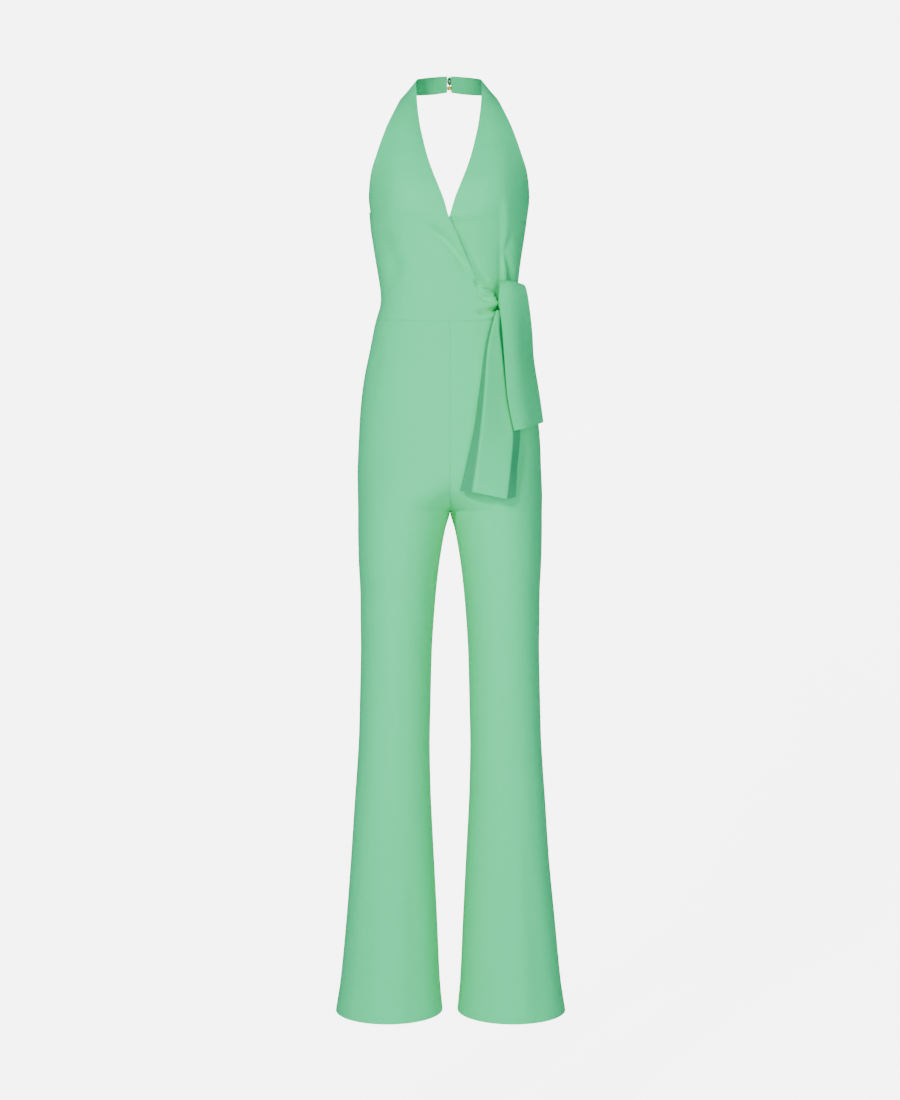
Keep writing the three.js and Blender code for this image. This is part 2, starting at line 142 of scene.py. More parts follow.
def groupSocket(group, name, way, kind, value=None):
    socket = group.interface.new_socket(name=name, in_out=way, socket_type=kind)
    if value is not None:
        socket.default_value = value
    return socket


def makeCrepeGroup():
    # crepe: a fine pebbled weave and faint slubs, with painted shade that darkens each seam line, the
    # knot's creases and cloth turned out of the light
    group = bpy.data.node_groups.new("crepeWeave", "ShaderNodeTree")
    groupSocket(group, "Lit", "INPUT", "NodeSocketColor", clothFinish["lit"])
    groupSocket(group, "Deep", "INPUT", "NodeSocketColor", clothFinish["deep"])
    groupSocket(group, "Threads", "INPUT", "NodeSocketFloat", clothFinish["threadsPerMetre"])
    groupSocket(group, "Mottle", "INPUT", "NodeSocketFloat", clothFinish["mottle"])
    groupSocket(group, "Colour", "OUTPUT", "NodeSocketColor")
    groupSocket(group, "Height", "OUTPUT", "NodeSocketFloat")
    groupSocket(group, "Rough", "OUTPUT", "NodeSocketFloat")
    nodes, links = group.nodes, group.links
    source = nodes.new("NodeGroupInput")
    result = nodes.new("NodeGroupOutput")
    uv = nodes.new("ShaderNodeUVMap")
    uv.uv_map = "cloth"
    pebbles = nodes.new("ShaderNodeTexNoise")
    pebbles.inputs["Detail"].default_value = 2
    pebbles.inputs["Roughness"].default_value = 0.6
    links.new(uv.outputs["UV"], pebbles.inputs["Vector"])
    links.new(source.outputs["Threads"], pebbles.inputs["Scale"])
    stretch = nodes.new("ShaderNodeMapping")
    stretch.inputs["Scale"].default_value = clothFinish["slubScale"]
    links.new(uv.outputs["UV"], stretch.inputs["Vector"])
    slubs = nodes.new("ShaderNodeTexNoise")
    slubs.inputs["Scale"].default_value = 1
    slubs.inputs["Detail"].default_value = 1
    links.new(stretch.outputs["Vector"], slubs.inputs["Vector"])
    place = nodes.new("ShaderNodeTexCoord")
    patches = nodes.new("ShaderNodeTexNoise")
    patches.inputs["Scale"].default_value = clothFinish["patchScale"]
    patches.inputs["Detail"].default_value = 2
    links.new(place.outputs["Object"], patches.inputs["Vector"])
    height = nodes.new("ShaderNodeMath")
    height.operation = "MULTIPLY_ADD"
    height.inputs[1].default_value = clothFinish["slubHeight"]
    links.new(slubs.outputs["Fac"], height.inputs[0])
    links.new(pebbles.outputs["Fac"], height.inputs[2])
    # the attribute read here holds painted shade, which mixes the cloth toward its shaded deep colour
    seam = nodes.new("ShaderNodeAttribute")
    seam.attribute_name = "paintedShade"
    patchShift = nodes.new("ShaderNodeMath")
    patchShift.operation = "SUBTRACT"
    patchShift.inputs[1].default_value = 0.5
    links.new(patches.outputs["Fac"], patchShift.inputs[0])
    patchShade = nodes.new("ShaderNodeMath")
    patchShade.operation = "MULTIPLY"
    links.new(patchShift.outputs["Value"], patchShade.inputs[0])
    links.new(source.outputs["Mottle"], patchShade.inputs[1])
    pebbleShade = nodes.new("ShaderNodeMath")
    pebbleShade.operation = "MULTIPLY_ADD"
    pebbleShade.inputs[1].default_value = clothFinish["pebbleShade"]
    links.new(pebbles.outputs["Fac"], pebbleShade.inputs[0])
    links.new(patchShade.outputs["Value"], pebbleShade.inputs[2])
    shade = nodes.new("ShaderNodeMath")
    shade.operation = "ADD"
    shade.use_clamp = True
    links.new(pebbleShade.outputs["Value"], shade.inputs[0])
    links.new(seam.outputs["Fac"], shade.inputs[1])
    blend = nodes.new("ShaderNodeMix")
    blend.data_type = "RGBA"
    links.new(shade.outputs["Value"], blend.inputs["Factor"])
    links.new(source.outputs["Lit"], blend.inputs["A"])
    links.new(source.outputs["Deep"], blend.inputs["B"])
    rough = nodes.new("ShaderNodeMapRange")
    rough.inputs["To Min"].default_value = clothFinish["roughness"] - 0.06
    rough.inputs["To Max"].default_value = clothFinish["roughness"] + 0.08
    links.new(pebbles.outputs["Fac"], rough.inputs["Value"])
    links.new(blend.outputs["Result"], result.inputs["Colour"])
    links.new(height.outputs["Value"], result.inputs["Height"])
    links.new(rough.outputs["Result"], result.inputs["Rough"])
    return group


crepeGroup = makeCrepeGroup()


def makeCrepe(name, lit):
    paint = bpy.data.materials.new(name)
    paint.use_nodes = True
    nodes, links = paint.node_tree.nodes, paint.node_tree.links
    shader = nodes["Principled BSDF"]
    weave = nodes.new("ShaderNodeGroup")
    weave.node_tree = crepeGroup
    weave.inputs["Lit"].default_value = lit
    bump = nodes.new("ShaderNodeBump")
    bump.inputs["Strength"].default_value = clothFinish["grain"]
    bump.inputs["Distance"].default_value = clothFinish["grainDeep"]
    links.new(weave.outputs["Height"], bump.inputs["Height"])
    links.new(weave.outputs["Colour"], shader.inputs["Base Color"])
    links.new(weave.outputs["Rough"], shader.inputs["Roughness"])
    links.new(bump.outputs["Normal"], shader.inputs["Normal"])
    shader.inputs["Specular IOR Level"].default_value = clothFinish["specular"]
    shader.inputs["Sheen Weight"].default_value = clothFinish["sheen"]
    shader.inputs["Sheen Tint"].default_value = clothFinish["sheenTint"]
    shader.inputs["Sheen Roughness"].default_value = clothFinish["sheenRoughness"]
    return paint


crepe = makeCrepe("mintCrepe", clothFinish["lit"])
# the neck band takes the darker copy of the cloth, painted shade
bandShadeCrepe = makeCrepe("bandShadeCrepe", clothFinish["inside"])
print("stage: cloth finish made")


# The garment's form, in millimetres, as its frame has it
levels = {
    "waistSeam": -407, "splitStart": -625, "crotch": -718, "hem": -1534,
    "waistDip": 9, "dipReach": 70, "halfGap": 0.0,
}
figureColumns = ("z", "lean", "outer", "inner", "front", "back", "square")
figureRows = np.array([
    (-150, -3, 131, 0, -100, 92, 2.2), (-226, -3, 129.5, 0, -110, 96, 2.2),
    (-255, -3, 127, 0, -107, 94, 2.2), (-304, -3, 119.5, 0, -96, 89, 2.2),
    (-354, -2, 112.5, 0, -87, 83, 2.2), (-378, -2, 112, 0, -86, 82, 2.2),
    (-407, -2, 120, 0, -89, 85, 2.2), (-452, -2, 129, 0, -97, 93, 2.2),
    (-501, -2, 139, 0, -104, 104, 2.2), (-550, -2, 145, 0, -107, 114, 2.2),
    (-600, -1, 149, 0, -108, 122, 2.2), (-649, -1, 151, 0, -108, 124, 2.15),
    (-690, 0, 151.5, 0, -104, 116, 2.1), (-718, 0, 151, 0, -97, 107, 2.1),
    (-747, 0, 151, 8, -92, 102, 2.1), (-796, 0, 150, 16.5, -86, 95, 2.1),
    (-846, 0, 147.5, 22.5, -80, 89, 2.05), (-895, 0, 147, 26.5, -75, 84, 2.05),
    (-944, 0, 146.5, 29.5, -70, 80, 2), (-1042, 0, 148.5, 32, -63, 74, 2),
    (-1092, 0, 150, 33, -61, 74, 2), (-1141, 0, 153, 32.5, -61, 75, 2),
    (-1190, 0, 156.5, 31, -62.5, 77, 2), (-1288, 0, 163, 26, -67, 83, 2),
    (-1387, 1, 171.5, 21, -74, 90, 2), (-1485, 1, 181, 16.5, -83, 97, 2),
    (-1534, 1, 188.5, 12, -88, 101, 2),
], float)[::-1]  # from the hem up


def smooth(t):
    s = np.clip(t, 0, 1)
    return s * s * (3 - 2 * s)


def signedPower(value, power):
    return np.sign(value) * np.abs(value) ** power


def measures(z):
    # the body's measures at some levels, on smooth curves through the rows
    z = np.asarray(z, float)
    rows = figureRows
    keys = rows[:, 0]
    i = np.clip(np.searchsorted(keys, z) - 1, 0, len(keys) - 2)
    slopes = np.empty_like(rows)
    slopes[1:-1] = (rows[2:] - rows[:-2]) / (keys[2:] - keys[:-2])[:, None]
    slopes[0] = (rows[1] - rows[0]) / (keys[1] - keys[0])
    slopes[-1] = (rows[-1] - rows[-2]) / (keys[-1] - keys[-2])
    span = keys[i + 1] - keys[i]
    t = np.clip((z - keys[i]) / span, -0.2, 1.2)[..., None]
    gap = span[..., None]
    value = ((2 * t**3 - 3 * t**2 + 1) * rows[i] + (t**3 - 2 * t**2 + t) * gap * slopes[i]
             + (3 * t**2 - 2 * t**3) * rows[i + 1] + (t**3 - t**2) * gap * slopes[i + 1])
    m = {name: value[..., k] for k, name in enumerate(figureColumns)}
    m["middle"] = (m["front"] + m["back"]) / 2
    m["deep"] = (m["back"] - m["front"]) / 2
    return m


def dip(z, frontness):
    near = 1 - smooth(np.abs(z - levels["waistSeam"]) / levels["dipReach"])
    return -levels["waistDip"] * near * np.clip(frontness, 0, 1) ** 2


def placeOn(m, x, y, z, frontness):
    lean = m["lean"] * (x / m["outer"]) ** 2
    return np.stack([x + lean, y, z + dip(z, frontness)], axis=-1)


def halfSection(z):
    m = measures(z)
    share = np.clip((levels["splitStart"] - z) / (levels["splitStart"] - levels["crotch"]), 0, 1) ** 1.7
    inner = np.maximum(m["inner"], 0)
    above = z > levels["crotch"]
    m["wide"] = np.where(above, m["outer"] / (1 + share), (m["outer"] - inner) / 2)
    m["shift"] = np.where(above, m["outer"] / (1 + share) * share, (m["outer"] + inner) / 2)
    return m


def halfPoints(side, z, angle):
    m = halfSection(z)
    power = 2 / m["square"]
    x = side * (m["shift"] + m["wide"] * signedPower(np.cos(angle), power))
    y = m["middle"] - m["deep"] * signedPower(np.sin(angle), power)
    return placeOn(m, x, y, z, np.sin(angle))


def panelAngles(z):
    m = halfSection(z)
    start = np.arcsin((levels["halfGap"] / m["deep"]) ** (m["square"] / 2))
    reach = (levels["halfGap"] - m["shift"]) / m["wide"]
    centre = np.arccos(np.clip(signedPower(reach, m["square"] / 2), -1, 1))
    return start, np.minimum(centre, math.pi - start)


def bodyPoints(z, angle):
    m = measures(z)
    power = 2 / m["square"]
    x = m["outer"] * signedPower(np.cos(angle), power)
    y = m["middle"] - m["deep"] * signedPower(np.sin(angle), power)
    return placeOn(m, x, y, z, np.sin(angle))


def angleAt(z, x):
    m = measures(z)
    plain = x - m["lean"] * (x / m["outer"]) ** 2
    return np.arccos(np.clip(signedPower(plain / m["outer"], m["square"] / 2), -1, 1))


def seamAngle(z):
    m = measures(z)
    return np.arcsin((levels["halfGap"] / m["deep"]) ** (m["square"] / 2))


# Shells
shell = {
    "thick": 1.3, "smoothAngle": 50,
    "seamSteps": (0, 0.7, 1.5, 2.6, 4.5, 8),  # distances from a seam at which the mesh has a line
    # grooveShade is painted shade along each seam's groove
    "grooveWide": 1.3, "grooveDeep": 0.4, "grooveShade": 0.3,
    "centreReach": 12,  # nearer the middle than this, folds shift no point sideways
}


def spacing(width, count, nearEnd=True):
    # shares across a panel of some width, closer together beside its seams
    steps = np.array(shell["seamSteps"]) / width
    middle = np.linspace(steps[-1], 1 - steps[-1], count)
    end = (1 - steps[:-1])[::-1] if nearEnd else (1 - np.linspace(0, steps[-1], 3)[:-1])[::-1]
    return np.concatenate([steps[:-1], middle, end])


def gridNormals(grid):
    # normals of a grid of points, rows along and columns across
    down = np.gradient(grid, axis=0)
    over = np.gradient(grid, axis=1)
    normal = np.cross(over, down)
    size = np.linalg.norm(normal, axis=-1, keepdims=True)
    return normal / np.maximum(size, 1e-9)


def edgeDistances(grid):
    # each point's distance along the cloth from the grid's four edges, in millimetres
    across = np.linalg.norm(np.diff(grid, axis=1), axis=-1)
    along = np.linalg.norm(np.diff(grid, axis=0), axis=-1)
    left = np.concatenate([np.zeros((grid.shape[0], 1)), np.cumsum(across, axis=1)], axis=1)
    first = np.concatenate([np.zeros((1, grid.shape[1])), np.cumsum(along, axis=0)], axis=0)
    return left, left[:, -1:] - left, first, first[-1:] - first


def pressFolds(grid, normal, folds):
    # Soft troughs and ridges. A fold's row holds its face, 1 front or -1 back, half its width, its
    # height over the cloth, the shares of its length that fade at both ends, how much it widens
    # along the way, and the points that it runs through, across and up, all in millimetres.
    lift = np.zeros(grid.shape[:2])
    for face, wide, depth, (startFade, endFade), spread, points in folds:
        facing = np.clip(-normal[..., 1] * face / 0.3, 0, 1)
        path = np.array(points, float)
        nearest = np.full(lift.shape, 1e9)
        along = np.zeros(lift.shape)
        for k in range(len(path) - 1):
            a, b = path[k], path[k + 1]
            flat = grid[..., [0, 2]]
            run = np.clip(((flat - a) @ (b - a)) / ((b - a) @ (b - a)), 0, 1)
            gap = np.linalg.norm(flat - (a + run[..., None] * (b - a)), axis=-1)
            closer = gap < nearest
            nearest = np.where(closer, gap, nearest)
            along = np.where(closer, (k + run) / (len(path) - 1), along)
        fade = smooth(along / startFade) * smooth((1 - along) / endFade)
        width = wide * (1 + spread * (along - 0.5))
        lift += depth * fade * facing * np.exp(-((nearest / width) ** 2))
    return lift


def makeShell(name, grid, seams, paint, thick=None, folds=(), outwards=1, turned=0):
    # a closed thin shell on a grid of outer points. seams names the sewn edges, and turned is
    # how much painted shade each point takes, for cloth turned back into shade
    thick = thick or shell["thick"]
    normal = gridNormals(grid) * outwards
    left, right, first, last = edgeDistances(grid)
    edges = {"left": left, "right": right, "first": first, "last": last}
    groove = np.zeros(grid.shape[:2])
    for seam in seams:
        groove = np.maximum(groove, np.exp(-((edges[seam] / shell["grooveWide"]) ** 2)))
    lift = pressFolds(grid, normal, folds) - shell["grooveDeep"] * groove
    shift = normal * lift[..., None]
    shift[..., 0] *= smooth(np.abs(grid[..., 0]) / shell["centreReach"])  # centre seams stay closed
    outer = grid + shift
    inner = outer - normal * thick
    rows, columns = grid.shape[:2]
    half = rows * columns
    points = np.concatenate([outer.reshape(-1, 3), inner.reshape(-1, 3)]) * mm
    index = np.arange(half).reshape(rows, columns)
    quads = np.stack([index[:-1, :-1], index[:-1, 1:], index[1:, 1:], index[1:, :-1]], axis=-1)
    quads = quads.reshape(-1, 4)
    rim = np.concatenate([index[0, :-1], index[:-1, -1], index[-1, :0:-1], index[:0:-1, 0]])
    after = np.roll(rim, -1)
    walls = np.stack([rim, rim + half, after + half, after], axis=-1)
    faces = np.concatenate([quads, quads[:, ::-1] + half, walls])
    if outwards < 0:
        faces = faces[:, ::-1]
    mesh = bpy.data.meshes.new(name)
    mesh.from_pydata(points.tolist(), [], faces.tolist())
    uvPlace = np.stack([left, first], axis=-1).reshape(-1, 2) * mm
    uvPlace = np.concatenate([uvPlace, uvPlace])
    corners = np.empty(len(mesh.loops), dtype=np.int32)
    mesh.loops.foreach_get("vertex_index", corners)
    layer = mesh.uv_layers.new(name="cloth")
    layer.data.foreach_set("uv", uvPlace[corners].astype(np.float32).ravel())
    # painted shade: each seam groove darkened, plus the turned shade given for cloth turned back
    shade = mesh.attributes.new("paintedShade", "FLOAT", "POINT")
    shaded = (groove * shell["grooveShade"] + turned).ravel()
    shadeValue = np.concatenate([shaded, shaded])
    shade.data.foreach_set("value", shadeValue.astype(np.float32))
    mesh.materials.append(paint)
    piece = bpy.data.objects.new(name, mesh)
    bpy.context.collection.objects.link(piece)
    finishSmooth(piece)
    return piece


def pick(piece):
    bpy.ops.object.select_all(action="DESELECT")
    piece.select_set(True)
    bpy.context.view_layer.objects.active = piece


def finishSmooth(piece):
    pick(piece)
    bpy.ops.object.shade_smooth_by_angle(angle=math.radians(shell["smoothAngle"]))


def dress(piece, node):
    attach(piece, "root")
    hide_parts(node)


# Trousers
trousers = {
    "hipStep": 7, "crotchStep": 3.5, "legStep": 9, "columns": 40, "meanWidth": 210,
    "flat": (0.30, 1.16), "frontArea": 0.2515, "backArea": 0.2528,
}
trouserFolds = [
    # soft drag lines that run out and up from the crotch, on both faces
    (1, 8, -0.4, (0.1, 0.6), 0, [(12, -706), (34, -688), (62, -674)]),
    (1, 7, -0.3, (0.1, 0.6), 0, [(-12, -706), (-30, -688), (-54, -670)]),
    (-1, 11, -3, (0.1, 0.6), 0, [(5, -712), (38, -694), (76, -688)]),
    (-1, 10, -2.6, (0.1, 0.6), 0, [(-5, -712), (-34, -698), (-70, -694)]),
    (-1, 9, -2, (0.4, 0.5), 0, [(52, -742), (84, -736), (118, -748)]),
    (-1, 10, -1.8, (0.4, 0.5), 0, [(-48, -748), (-80, -744), (-112, -752)]),
    # the flare's long soft flutes, uneven
    (1, 13, -2.6, (0.7, 0.01), 0.8, [(-118, -1120), (-130, -1330), (-142, -1534)]),
    (1, 12, -1.8, (0.7, 0.01), 0.8, [(-62, -1180), (-60, -1360), (-55, -1534)]),
    (1, 13, -2, (0.7, 0.01), 0.8, [(60, -1150), (60, -1350), (58, -1534)]),
    (1, 13, -2.6, (0.7, 0.01), 0.8, [(120, -1200), (134, -1370), (148, -1534)]),
    (-1, 15, -3, (0.7, 0.01), 0.8, [(-105, -1080), (-122, -1320), (-135, -1534)]),
    (-1, 14, -2.6, (0.7, 0.01), 0.8, [(74, -1120), (76, -1350), (72, -1534)]),
    (-1, 12, -2.2, (0.7, 0.01), 0.8, [(128, -1160), (140, -1370), (156, -1534)]),
    # knees: a slight break in the cloth behind
    (-1, 12, -2, (0.4, 0.4), 0, [(58, -1030), (92, -1040), (122, -1032)]),
    (-1, 11, -1.8, (0.4, 0.4), 0, [(-62, -1046), (-92, -1052), (-120, -1042)]),
    # hips: a soft drag at the right side, and two below the waist seam behind
    (1, 10, -1.4, (0.4, 0.6), 0, [(-112, -440), (-122, -500), (-128, -570)]),
    (-1, 7, -1.2, (0.2, 0.7), 0, [(-70, -432), (-66, -470), (-70, -510)]),
    (-1, 7, -1.2, (0.2, 0.7), 0, [(70, -432), (68, -470), (74, -505)]),
]


def trouserLevels():
    t = trousers
    top = levels["waistSeam"] - levels["halfGap"]
    near = top - np.array(shell["seamSteps"])
    hips = np.arange(near[-1] - 4, -640, -t["hipStep"])
    fork = np.arange(-641, -762, -t["crotchStep"])
    leg = np.arange(-768, levels["hem"] + 5, -t["legStep"])
    return np.concatenate([near, hips, fork, leg, [levels["hem"] + 1.5, levels["hem"]]])


def makeLegPanel(node, side, face):
    z = trouserLevels()
    start, end = panelAngles(z)
    u = spacing(trousers["meanWidth"], trousers["columns"])
    angle = face * (start[:, None] + (end - start)[:, None] * u[None, :])
    level = np.broadcast_to(z[:, None], angle.shape)
    grid = halfPoints(side, level, angle)
    piece = makeShell(node + "_cloth", grid, ("left", "right", "first"), crepe,
                      folds=trouserFolds, outwards=side * face)
    dress(piece, node)


for sideName, side in (("left", 1), ("right", -1)):
    makeLegPanel("front_leg_" + sideName, side, 1)
    makeLegPanel("back_leg_" + sideName, side, -1)
print("stage: trousers made")


# Bodice and neck band
wrapRows = [
    # height at the side seam, then the upper and the under wrap edge: across, height
    (-407, 74, -407, -76, -407), (-393, 74, -396, -70, -392), (-379, 74, -385, -62, -377),
    (-363, 73, -374, -53, -361), (-346, 60, -359, -43, -345), (-325, 41, -345, -31, -324),
    (-301, 30, -324, -20, -299), (-276, 19, -299, -10, -276), (-251, 9, -276, -4, -264),
]
halterRows = [
    # armhole edge x, y, z, then neck edge x, y, z, then how far the cloth bows out
    (129, -9, -228, 1, -110, -252, 30), (131, -20, -210, 8, -107, -228, 26),
    (129, -40, -190, 17.5, -103, -203, 20), (125, -50, -168, 27, -96, -178, 16),
    (117, -57, -145, 35, -88, -152, 13), (109, -55, -121, 41, -76, -126, 10),
    (100, -47, -95, 46.5, -60, -98, 8), (88, -30, -65, 50.5, -40, -67, 5),
    (81, -11, -46, 52.5, -20, -42, 3), (77, 8, -35, 54, -3, -20, 2),
    (70, 24, -25, 54, 15, -5, 1), (57, 43, -23, 44.5, 38, 4, 0),
    (30, 59.5, -18, 25, 56, 11, 0), (3.6, 65, -13, 3.6, 63, 14, 0),
]
bodice = {
    "bandStart": 10, "fullBow": 5, "square": 2.2, "neckLean": -1.5, "armLean": -1.5,
    "columns": 60, "meanWidth": 150, "rowStep": 0.09, "bandWall": 2.2,
    "rightFlat": (0.235, 0.43), "rightArea": 0.0605, "leftFlat": (0.235, 0.43), "leftArea": 0.0585,
    "bandFlat": (0.03, 0.081), "bandRows": 44, "bandColumns": 16,
    "backFlat": (0.15, 0.185), "backArea": 0.0184, "backWidth": 130, "backHeight": 120,
    "backColumns": 34, "backRows": 24, "backCurve": 1.4,
}
bust = {"x": 68, "z": -212, "rise": 14, "wide": 40, "tall": 42, "edge": 131, "clearEdge": 45}
underlap = {"depth": 5.6, "top": -215, "ramp": 32, "sideX": 92, "sideRamp": 14}
pleats = {"from": 38, "to": 72, "rise": 4.5, "sideways": 0.5, "rows": 4.6, "count": 3}
backTop = {"side": -228, "centre": -345}

rightFolds = [
    # the turned wrap edge stands a little proud
    (1, 3.4, 2.2, (0.05, 0.1), 0, [(1, -252), (9, -262), (19, -284), (30, -308), (42, -332),
        (60, -352)]),
    # the long soft trough beside the wrap edge, then the creases drawn into the knot
    (1, 6, -6.4, (0.4, 0.2), 0, [(-48, -258), (-6, -292), (34, -340)]),
    (1, 6, 2.8, (0.5, 0.3), 0, [(-30, -252), (8, -280), (40, -330)]),
    (1, 9, 2, (0.5, 0.3), 0, [(-56, -292), (-8, -322), (28, -352)]),
    (1, 2.6, -3.4, (0.1, 0.5), 0, [(40, -347), (45, -361), (50, -375)]),
    (1, 2.4, -8, (0.25, 0.02), 0, [(40, -349), (58, -360), (75, -368)]),
    (1, 3, 3.8, (0.5, 0.02), 0, [(36, -358), (58, -371), (74, -378)]),
    (1, 3.4, -3.4, (0.6, 0.02), 0, [(32, -366), (54, -379), (74, -386)]),
    (1, 4.5, 2.2, (0.5, 0.05), 0, [(50, -386), (62, -388), (74, -390)]),
    (1, 3.2, -7.5, (0.45, 0.02), 0, [(40, -401), (58, -400), (75, -395)]),
    (1, 15, -4.6, (0.3, 0.3), 0, [(-124, -258), (-104, -292), (-92, -326), (-102, -372)]),
    (1, 9, -1, (0.4, 0.4), 0, [(-60, -120), (-66, -150), (-74, -176)]),
]
leftFolds = [
    # the cloth sinks under the wrap edge and, out of sight, under the gathers at the knot
    (1, 3.6, -2.6, (0.05, 0.05), 0, [(3, -254), (13, -266), (23, -286), (34, -310), (46, -334),
        (62, -352)]),
    (1, 15, -7, (0.4, 0.02), 0, [(28, -370), (54, -377), (78, -384)]),
    # the drag line from the dart down into the knot, and two fainter ones beside it
    (1, 5, -3.6, (0.7, 0.02), 0, [(113, -257), (99, -274), (89, -304), (97, -328), (100, -356)]),
    (1, 7, 1.4, (0.4, 0.1), 0, [(112, -276), (105, -306), (111, -350)]),
    (1, 4.5, -1.8, (0.5, 0.05), 0, [(80, -280), (81, -316), (82, -354)]),
    (1, 2.2, -1.6, (0.02, 0.6), 0, [(124, -244), (117, -250), (112, -256)]),
    (1, 9, -1.4, (0.4, 0.3), 0, [(20, -262), (34, -300), (50, -340)]),
]
backFolds = [
    (-1, 9, -1.8, (0.3, 0.5), 0, [(-92, -262), (-70, -312), (-52, -372)]),
    (-1, 8, -1.6, (0.3, 0.5), 0, [(84, -256), (70, -306), (58, -366)]),
    (-1, 5, -1.4, (0.5, 0.3), 0, [(-40, -372), (-24, -384), (-6, -392)]),
    (-1, 5, -1.2, (0.5, 0.3), 0, [(36, -376), (22, -388), (6, -396)]),
]
bandFolds = [
    (1, 3, -0.9, (0.4, 0.4), 0, [(-34, 2), (-26, -4), (-14, 0)]),
    (1, 3, -0.9, (0.4, 0.4), 0, [(18, 4), (30, -2), (38, -12)]),
]


def halterRow(side, row, u):
    # one row of a halter front, u from the side or armhole edge to the wrap or neck edge
    if row < len(wrapRows):
        sideZ, overX, overZ, underX, underZ = wrapRows[row]
        edgeX, edgeZ = (overX, overZ) if side < 0 else (underX, underZ)
        z = sideZ + (edgeZ - sideZ) * u + levels["halfGap"]
        start = math.pi - seamAngle(sideZ) if side < 0 else seamAngle(sideZ)
        return bodyPoints(z, start + (angleAt(edgeZ, edgeX) - start) * u)
    armX, armY, armZ, neckX, neckY, neckZ, bow = halterRows[row - len(wrapRows)]
    b = bodice
    rounded = 1 - smooth((row - len(wrapRows)) / b["fullBow"])
    power = 2 / b["square"]
    turn = u * math.pi / 2
    roundX = neckX + (armX - neckX) * signedPower(np.cos(turn), power)
    roundY = armY + (neckY - armY) * signedPower(np.sin(turn), power)
    flatX = armX + (neckX - armX) * u
    flatY = armY + (neckY - armY) * u - bow * np.sin(math.pi * u)
    lean = b["armLean"] + (b["neckLean"] - b["armLean"]) * u
    return np.stack([side * (flatX + (roundX - flatX) * rounded) + lean,
                     flatY + (roundY - flatY) * rounded,
                     armZ + (neckZ - armZ) * u], axis=-1)


def throughRows(stack, places):
    # a smooth curve through a stack of rows, at fractional places along it
    last = len(stack) - 1
    i = np.clip(np.floor(places).astype(int), 0, last - 1)
    t = (places - i).reshape((-1,) + (1,) * (stack.ndim - 1))
    before, a = stack[np.maximum(i - 1, 0)], stack[i]
    b, after = stack[i + 1], stack[np.minimum(i + 2, last)]
    return 0.5 * (2 * a + (b - before) * t + (2 * before - 5 * a + 4 * b - after) * t**2
                  + (3 * a - before - 3 * b + after) * t**3)


def halterGrid(side, places, u):
    rows = np.stack([halterRow(side, k, u) for k in range(len(wrapRows) + len(halterRows))])
    grid = throughRows(rows, places)
    x, z = grid[..., 0], grid[..., 2]
    off = np.abs(x - bodice["armLean"])
    inside = smooth((bust["edge"] - off) / bust["clearEdge"])
    swell = ((off - bust["x"]) / bust["wide"]) ** 2 + ((z - bust["z"]) / bust["tall"]) ** 2
    grid[..., 1] -= bust["rise"] * inside * np.exp(-0.5 * swell)
    if side < 0:
        draw = smooth((x - pleats["from"]) / (pleats["to"] - pleats["from"]))
        wave = np.sin(math.pi * pleats["count"] * places / pleats["rows"]) ** 2
        fold = pleats["rise"] * draw * (wave * (places < pleats["rows"]))[:, None]
        grid[..., 0] += fold * pleats["sideways"]
        grid[..., 1] -= fold
    else:
        below = smooth((underlap["top"] - z) / underlap["ramp"])
        grid[..., 1] += underlap["depth"] * below * smooth((underlap["sideX"] - x) / underlap["sideRamp"])
    return grid


def makeHalterFront(node, side, folds):
    b = bodice
    bandRow = len(wrapRows) + b["bandStart"]
    places = np.concatenate([[0, 0.04, 0.1, 0.18], np.arange(0.27, bandRow - 0.1, b["rowStep"]),
                             [bandRow - 0.06, bandRow - 0.01]])
    u = spacing(b["meanWidth"], b["columns"], nearEnd=False)
    grid = halterGrid(side, places, u)
    piece = makeShell(node + "_cloth", grid, ("first", "last"), crepe, folds=folds, outwards=-side)
    dress(piece, node)


def makeNeckBand(node, side):
    b = bodice
    bandRow = len(wrapRows) + b["bandStart"]
    places = np.linspace(bandRow + 0.01, bandRow + 3, b["bandRows"])
    grid = halterGrid(side, places, np.linspace(0, 1, b["bandColumns"]))
    piece = makeShell(node + "_cloth", grid, ("first",), bandShadeCrepe, thick=b["bandWall"],
                      folds=bandFolds, outwards=-side)
    dress(piece, node)


def makeBackBodice(node, side):
    b = bodice
    waist = levels["waistSeam"]
    u = spacing(b["backWidth"], b["backColumns"])
    angle = seamAngle(waist) + (angleAt(waist, levels["halfGap"]) - seamAngle(waist)) * u
    top = backTop["side"] + (backTop["centre"] - backTop["side"]) * np.sin(angle) ** b["backCurve"]
    v = spacing(b["backHeight"], b["backRows"], nearEnd=False)[:, None]
    low = waist + levels["halfGap"]
    z = low + (top[None, :] - low) * v
    turned = np.broadcast_to(-angle if side > 0 else angle - math.pi, z.shape)
    grid = bodyPoints(z, turned)
    piece = makeShell(node + "_cloth", grid, ("left", "right", "first"), crepe,
                      folds=backFolds, outwards=side)
    dress(piece, node)


makeHalterFront("front_bodice_right", -1, rightFolds)
makeHalterFront("front_bodice_left", 1, leftFolds)
makeNeckBand("neck_band_right", -1)
makeNeckBand("neck_band_left", 1)
makeBackBodice("back_bodice_left", 1)
makeBackBodice("back_bodice_right", -1)
print("stage: bodice and neck band made")


